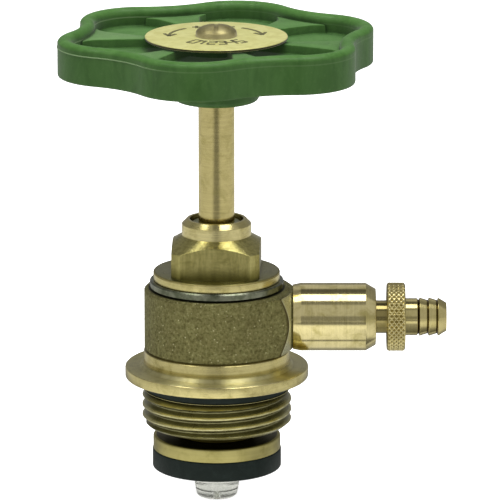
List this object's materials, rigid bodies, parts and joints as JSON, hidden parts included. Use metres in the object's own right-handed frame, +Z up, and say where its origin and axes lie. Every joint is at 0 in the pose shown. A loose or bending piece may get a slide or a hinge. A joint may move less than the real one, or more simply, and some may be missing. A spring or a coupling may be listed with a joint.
{
  "type": "stop valve headwork with drain cock",
  "caption": "Screw-down stop valve headwork: lobed handwheel on a rising brass stem, threaded bonnet, rubber-faced valve disc and a swivelling drain cock with a barbed hose tail",
  "frame": {"origin": "Centre of the flange's seat, where it bears on the valve body, on the stem's axis", "axes": "+Z up the stem towards the handwheel, +X out along the drain towards the hose tail, right-handed"},
  "size_m": [0.0858, 0.0712, 0.1073],
  "materials": {
    "brass": "machined",
    "bright_brass": "bright turned",
    "cast_brass": "sand cast",
    "plate_brass": "brushed",
    "steel": "satin",
    "rubber": "matt",
    "green_plastic": "satin",
    "clear_plastic": "clear"
  },
  "bodies": {
    "head": {"bonnet": "brass", "gland_bush": "brass", "bush_o_ring": "rubber", "stem_o_rings": "rubber", "retaining_ring": "steel", "swivel_o_rings": "rubber", "head_gasket": "rubber"},
    "valve": {"disc_holder": "brass", "stem_clip": "steel", "valve_seal": "rubber", "nose_plug": "clear_plastic"},
    "spindle": {"stem": "bright_brass", "handwheel": "green_plastic", "wheel_plate": "plate_brass", "wheel_screw": "bright_brass"},
    "drain": {"swivel_ring": "cast_brass", "drain_body": "bright_brass"},
    "nozzle_tip": {"nozzle_seal": "rubber"},
    "nozzle": {"drain_nozzle": "bright_brass", "nozzle_o_ring": "rubber"}
  },
  "joints": [
    {"name": "valve_lift", "type": "slide", "parent": "head", "child": "valve", "axis": [0, 0, 1], "range_m": [-0.012, 0.002]},
    {"name": "wheel_turn", "type": "hinge", "parent": "valve", "child": "spindle", "pos_m": [0, 0, 0.03], "axis": [0, 0, 1], "range_deg": [-2160, 360]},
    {"name": "drain_swivel", "type": "hinge", "parent": "head", "child": "drain", "pos_m": [0, 0, 0.01345], "axis": [0, 0, 1], "continuous": true},
    {"name": "nozzle_travel", "type": "slide", "parent": "drain", "child": "nozzle_tip", "axis": [1, 0, 0], "range_m": [0, 0.0025]},
    {"name": "nozzle_turn", "type": "hinge", "parent": "nozzle_tip", "child": "nozzle", "pos_m": [0.03, 0, 0.01345], "axis": [1, 0, 0], "range_deg": [0, 900]}
  ],
  "couplings": [
    {"joint": "wheel_turn", "follows": "valve_lift", "rad_per_m": 3141.6},
    {"joint": "nozzle_turn", "follows": "nozzle_travel", "rad_per_m": 6283.2}
  ]
}
